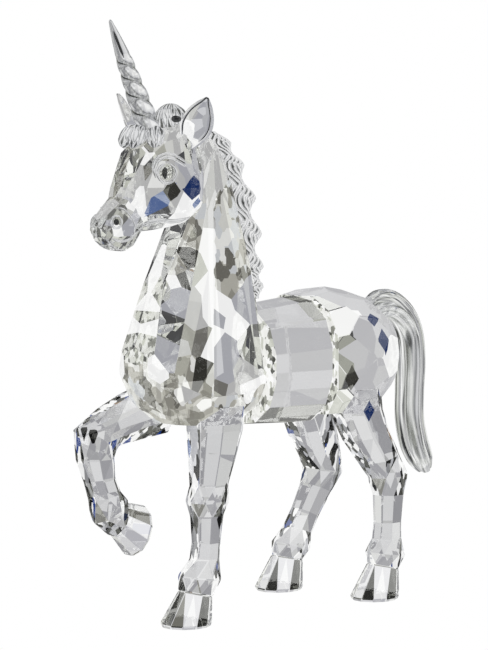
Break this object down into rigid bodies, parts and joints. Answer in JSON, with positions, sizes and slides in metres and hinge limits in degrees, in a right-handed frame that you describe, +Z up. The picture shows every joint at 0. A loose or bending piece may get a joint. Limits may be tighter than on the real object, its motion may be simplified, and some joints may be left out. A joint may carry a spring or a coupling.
{
  "type": "unicorn figurine",
  "caption": "Standing unicorn figurine of clear faceted crystal with one foreleg raised, a twisted horn, a rippled mane and a hanging tail.",
  "frame": {"origin": "middle of the whole figurine's footprint, on the surface that it stands on", "axes": "+Z up, -Y the way the figurine faces, +X its left side"},
  "size_m": [0.0312, 0.0946, 0.12],
  "materials": {
    "crystal": "clear, ground and polished"
  },
  "bodies": {
    "root": {"neck_and_chest": "crystal", "barrel": "crystal", "hindquarters": "crystal", "head": "crystal", "left_eye": "crystal", "right_eye": "crystal", "horn": "crystal", "left_ear": "crystal", "right_ear": "crystal", "poll_tuft": "crystal", "mane": "crystal", "left_foreleg": "crystal", "right_foreleg": "crystal", "left_hind_leg": "crystal", "right_hind_leg": "crystal", "left_fore_hoof": "crystal", "right_fore_hoof": "crystal", "left_hind_hoof": "crystal", "right_hind_hoof": "crystal", "forelock_middle_lock": "crystal", "forelock_left_lock": "crystal", "forelock_right_lock": "crystal", "tail_outer_lock": "crystal", "tail_left_lock": "crystal", "tail_right_lock": "crystal"}
  },
  "joints": []
}
